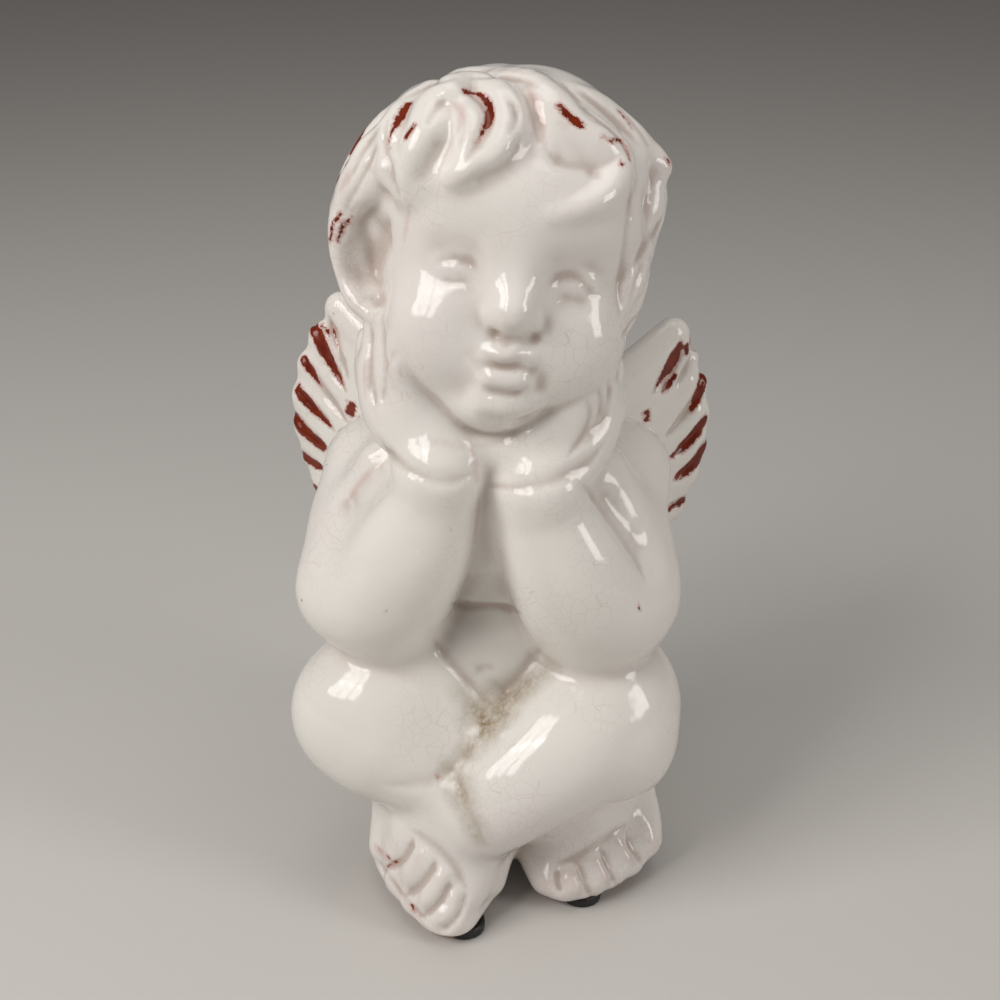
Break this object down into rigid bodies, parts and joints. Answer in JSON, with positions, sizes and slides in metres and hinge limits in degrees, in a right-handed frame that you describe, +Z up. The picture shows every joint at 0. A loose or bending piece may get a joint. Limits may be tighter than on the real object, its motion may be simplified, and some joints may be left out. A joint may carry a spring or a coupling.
{
  "type": "cherub figurine",
  "caption": "Seated, cross-legged cherub with small feathered wings, elbows on knees and chin in its hands, in white crackled glaze, on rubber pads.",
  "frame": {"origin": "on the table, under the middle of the figure's bounding box", "axes": "+Z up, the figure faces -Y, +X is the viewer's right"},
  "size_m": [0.1103, 0.0928, 0.1998],
  "materials": {
    "glaze": "glossy warm white glaze with fine crazing, red clay showing through on wings and hair",
    "rubber_pad": "smooth black rubber"
  },
  "bodies": {
    "root": {"cherub": "glaze", "pad_front_left": "rubber_pad", "pad_front_right": "rubber_pad", "pad_rear_left": "rubber_pad", "pad_rear_right": "rubber_pad"}
  },
  "joints": []
}
